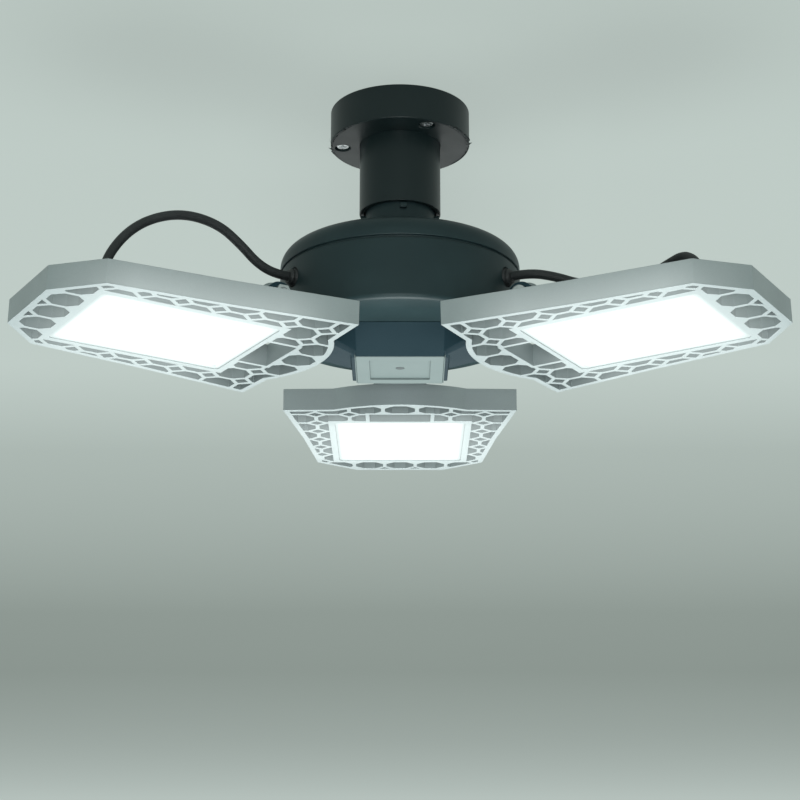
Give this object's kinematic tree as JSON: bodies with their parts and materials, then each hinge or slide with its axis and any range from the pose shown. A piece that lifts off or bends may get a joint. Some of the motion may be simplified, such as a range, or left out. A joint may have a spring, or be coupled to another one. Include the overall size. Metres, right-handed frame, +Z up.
{
  "type": "deformable garage light",
  "caption": "Ceiling light with folding lattice-edged LED wings on a round driver drum, screwed into a round surface lampholder.",
  "frame": {"origin": "centre of the lampholder's ceiling face, on the lamp's axis", "axes": "+Z up, out of the ceiling face into the ceiling; -Y towards the viewer, between the left and right wings; the back wing points along +Y"},
  "size_m": [0.3798, 0.339, 0.1646],
  "materials": {
    "black_plastic": "satin moulded plastic",
    "ivory_insulator": "moulded insulating plastic",
    "brass_contact": "bare brass",
    "nickel_cap": "nickel-plated thin sheet",
    "glass_insulator": "dark glazed insulator",
    "steel_screw": "zinc-plated steel",
    "dark_casting": "dark painted die casting",
    "grey_cover": "light grey moulded plastic",
    "silver_casting": "silver-grey painted die casting",
    "circuit_board": "solder-masked board",
    "driver_parts": "electronic components",
    "led_board": "white solder-masked aluminium board",
    "led": "phosphor under silicone",
    "diffuser": "milky diffusing plastic, lit",
    "black_rubber": "black rubber"
  },
  "bodies": {
    "lampholder": {"ceiling_base": "black_plastic", "holder_tube": "black_plastic", "contact_block": "ivory_insulator", "shell_contact": "brass_contact", "centre_contact": "brass_contact", "terminals": "brass_contact", "terminal_screws": "steel_screw", "mounting_screws": "steel_screw"},
    "lamp": {"screw_shell": "nickel_cap", "cap_insulator": "glass_insulator", "tip_contact": "brass_contact", "neck": "black_plastic", "dome_cover": "black_plastic", "drum_body": "black_plastic", "driver_board": "circuit_board", "driver_parts": "driver_parts", "driver_screws": "steel_screw", "hub_bracket": "dark_casting", "hub_cover": "grey_cover", "hub_screw": "steel_screw", "left_hinge_screw": "steel_screw", "left_hinge_nut": "steel_screw", "left_hinge_washers": "black_rubber", "left_drum_gland": "black_rubber", "left_lead": "black_rubber", "right_hinge_screw": "steel_screw", "right_hinge_nut": "steel_screw", "right_hinge_washers": "black_rubber", "right_drum_gland": "black_rubber", "right_lead": "black_rubber", "back_hinge_screw": "steel_screw", "back_hinge_nut": "steel_screw", "back_hinge_washers": "black_rubber", "back_drum_gland": "black_rubber", "back_lead": "black_rubber"},
    "left_wing": {"left_wing_frame": "silver_casting", "left_led_board": "led_board", "left_leds": "led", "left_board_screws": "steel_screw", "left_lens": "diffuser", "left_lens_gasket": "black_rubber", "left_wing_gland": "black_rubber"},
    "right_wing": {"right_wing_frame": "silver_casting", "right_led_board": "led_board", "right_leds": "led", "right_board_screws": "steel_screw", "right_lens": "diffuser", "right_lens_gasket": "black_rubber", "right_wing_gland": "black_rubber"},
    "back_wing": {"back_wing_frame": "silver_casting", "back_led_board": "led_board", "back_leds": "led", "back_board_screws": "steel_screw", "back_lens": "diffuser", "back_lens_gasket": "black_rubber", "back_wing_gland": "black_rubber"}
  },
  "joints": [
    {"name": "lamp_turn", "type": "hinge", "parent": "lampholder", "child": "lamp", "pos_m": [0, 0, -0.04], "axis": [0, 0, 1], "range_deg": [-180, 0]},
    {"name": "left_fold", "type": "hinge", "parent": "lamp", "child": "left_wing", "pos_m": [-0.06712, -0.03875, -0.1225], "axis": [-0.5, 0.866, 0], "range_deg": [-1.4, 73.6], "deforming": ["left_lead"]},
    {"name": "right_fold", "type": "hinge", "parent": "lamp", "child": "right_wing", "pos_m": [0.06712, -0.03875, -0.1225], "axis": [-0.5, -0.866, 0], "range_deg": [-1.4, 73.6], "deforming": ["right_lead"]},
    {"name": "back_fold", "type": "hinge", "parent": "lamp", "child": "back_wing", "pos_m": [0, 0.0775, -0.1225], "axis": [1, 0, 0], "range_deg": [-1.4, 73.6], "deforming": ["back_lead"]}
  ]
}
